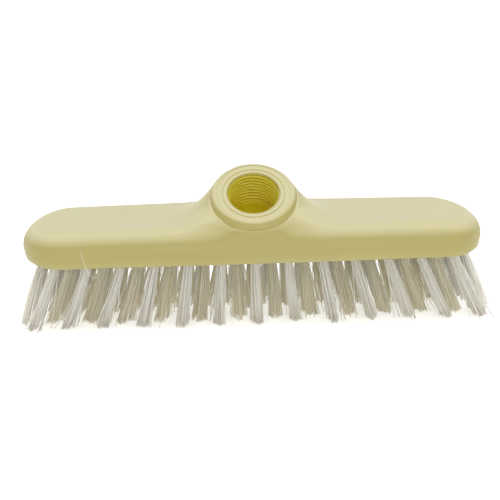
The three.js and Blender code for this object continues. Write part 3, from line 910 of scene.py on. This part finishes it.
def mark_block(mesh):
    """Marks the bore's painted shade and light, the painted highlight on its crests, the stronger painted top
    light round the collar, and the painted light along the lower edge and underside.
    """
    points = np.empty(len(mesh.vertices) * 3)
    mesh.vertices.foreach_get("co", points)
    points = points.reshape(-1, 3)
    from_rim = points - RIM_CENTRE
    along = from_rim @ AXIS
    radial = np.linalg.norm(from_rim - along[:, None] * AXIS, axis=1)
    mark_bore(mesh, along, radial)
    # Painted light along the lower edge, where the floor throws light up, and over the whole underside
    above = points[:, 2] - UNDERSIDE
    lower_edge = LOW_LIGHT_LEVEL * smooth_step((LOW_LIGHT_HEIGHT - above) / LOW_LIGHT_HEIGHT)
    mark(mesh, "painted_low_light", np.where(above < SURFACE_ERROR, UNDERSIDE_LIGHT_LEVEL, lower_edge))
    # Painted top light made stronger round the collar
    mark(mesh, "painted_collar_light", COLLAR_LIGHT_LEVEL * smooth_step((COLLAR_LIGHT_RADIUS - radial) / COLLAR_LIGHT_FADE))


def make_block(material):
    low, high = np.array(BLOCK_LOW) - NET_MARGIN, np.array(BLOCK_HIGH) + NET_MARGIN
    points, faces = surface_net(block_distance, low, high, NET_STEP)
    block = new_object("block_moulding", points, faces, material)
    combine(block, new_object("collar", *collar_mesh(), material), "UNION")
    combine(block, new_object("crease", *crease_mesh(), material), "DIFFERENCE")
    combine(block, new_object("bore", *bore_mesh(), material), "DIFFERENCE")
    combine(block, new_object("holes", *hole_mesh(), material), "DIFFERENCE")
    weld(block.data)
    block.data.shade_smooth()
    block.data.set_sharp_from_angle(angle=math.radians(SHARP_ANGLE))
    mark_block(block.data)
    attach(block, "root")
    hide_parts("block")


# Filaments

def tuft_roots(chance):
    """Places of a tuft's filaments at its root, packed like seeds, and the clump that each goes to."""
    order = np.arange(FILAMENTS)
    turn = order * GOLDEN_ANGLE + chance.uniform(-ROOT_JITTER, ROOT_JITTER, FILAMENTS)
    from_middle = TUFT_RADIUS * np.sqrt((order + 0.5) / FILAMENTS)
    roots = np.stack((np.cos(turn), np.sin(turn)), 1) * from_middle[:, None]
    middles = chance.normal(0, CLUMP_SPREAD * TUFT_RADIUS, (CLUMPS, 2))
    clump = np.linalg.norm(roots[:, None] - middles, axis=2).argmin(1)
    return roots, middles, clump


def tuft_lines(x, name, chance):
    """The filaments of one tuft, which spread from its root and part into clumps towards its tip."""
    lean_more, fan_more = chance.normal(0, LEAN_JITTER, 2)
    placed = np.array(tuft_frame(x, name, lean_more, fan_more))
    splay = ROWS[name]["splay"] * (END_TUFT_SPLAY if outermost(x) else 1)
    roots, middles, clump = tuft_roots(chance)
    gather = splay * (CLUMP_WIDTH - 1) * (roots - middles[clump])
    part = gather + chance.normal(0, CLUMP_REACH, (CLUMPS, 2))[clump]
    part += chance.normal(0, TIP_JITTER, (FILAMENTS, 2))
    stray = chance.normal(0, STRAY_REACH, (FILAMENTS, 2)) * (chance.random(FILAMENTS) < STRAY_SHARE)[:, None]
    stray *= END_TUFT_STRAY if outermost(x) else 1
    bow = chance.normal(0, BOW, (FILAMENTS, 2))
    slope = chance.normal(0, CUT_SLOPE, 2)
    cut = np.maximum(roots @ slope, 0) + (CLUMP_CUT * chance.random(CLUMPS) ** 2)[clump]
    cut += RAGGED * chance.random(FILAMENTS) ** 2 + TIP_CLEARANCE
    curl = np.array(((END_TUFT_CURL if outermost(x) else CURL) * x / HALF_LENGTH, 0))
    share = np.linspace(0, 1, FILAMENT_STEPS)[:, None]
    lines = []
    for i, root in enumerate(roots):
        across = root + root * (splay - 1) * share**SPLAY_CURVE + part[i] * share**PARTING_CURVE
        across = across + stray[i] * share + bow[i] * 4 * share * (1 - share) + curl * share**2
        lines.append(filament_line(placed, root, across, cut[i]))
    return lines


def filament_line(placed, root, across, end_height):
    """Points down one filament, from inside its hole to a tip at a height above the floor."""
    length = (placed[2, 3] + placed[2, :2] @ across[-1] - end_height) / placed[2, 2]
    local = np.column_stack((across, -np.linspace(0, length, FILAMENT_STEPS)))
    local = np.vstack((np.append(root, ROOT_DEPTH), local))
    return local @ placed[:3, :3].T + placed[:3, 3]


def filament_mesh(lines, radii, tone_ranges, chance):
    """A thin tube along each line, with a closed tip, a tone for each tube, and the painted shade that
    darkens its points towards the tip.
    """
    angles = np.linspace(0, 2 * math.pi, FILAMENT_SIDES, endpoint=False)
    bodies, tones_and_painted_light, soil = [], [], []
    for line, radius, tone_range in zip(lines, radii, tone_ranges):
        along = np.gradient(line, axis=0)
        along /= np.linalg.norm(along, axis=1, keepdims=True)
        aside = np.cross(along, (1, 0, 0))
        aside /= np.linalg.norm(aside, axis=1, keepdims=True)
        other = np.cross(along, aside)
        rings = [
            p + radius * (np.outer(np.cos(angles), a) + np.outer(np.sin(angles), o))
            for p, a, o in zip(line, aside, other)
        ]
        bodies.append(closed_stack(rings))
        tones_and_painted_light.append(np.full(len(line) * FILAMENT_SIDES, chance.uniform(*tone_range)))
        tip_shade = TIP_SHADE_LEVEL * np.linspace(0, 1, len(line)) ** TIP_SHADE_CURVE
        soil.append(np.repeat(tip_shade, FILAMENT_SIDES))
    return *joined(bodies), {"tone": np.concatenate(tones_and_painted_light), "soil": np.concatenate(soil)}


def make_row(name, row, material, chance):
    lines, tone_ranges = [], []
    for x in tuft_places(row):
        lines += tuft_lines(x, name, chance)
        at_end = abs(x) > HALF_LENGTH - END_TONE_INSET
        tone_ranges += [END_TONES if at_end else row["tones_and_painted_light"]] * FILAMENTS
    radii = [FILAMENT_RADIUS] * len(lines)
    if name == "front":
        lines.append(LOOSE_FILAMENT)
        radii.append(LOOSE_RADIUS)
        tone_ranges.append(row["tones_and_painted_light"])
    points, faces, marks = filament_mesh(lines, radii, tone_ranges, chance)
    tufts = new_object(f"tufts_{name}", points, faces, material, smooth=True)
    for mark_name, values in marks.items():
        mark(tufts.data, mark_name, values)
    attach(tufts, "root")
    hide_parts(f"bristle_row_{name}")


def finish_anchors():
    steel = anchor_steel()
    for name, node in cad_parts.items():
        if name.startswith("tuft_anchor_"):
            node.data.materials.clear()
            node.data.materials.append(steel)


bpy.context.scene.view_settings.view_transform = "Standard"
make_camera()
make_world()
for sun, sun_facts in SUNS.items():
    make_sun(sun, *sun_facts)
make_floor()
make_block(block_plastic())
filament = bristle_filament()
chance = np.random.default_rng(SEED)
for row_name, row_facts in ROWS.items():
    make_row(row_name, row_facts, filament, chance)
finish_anchors()
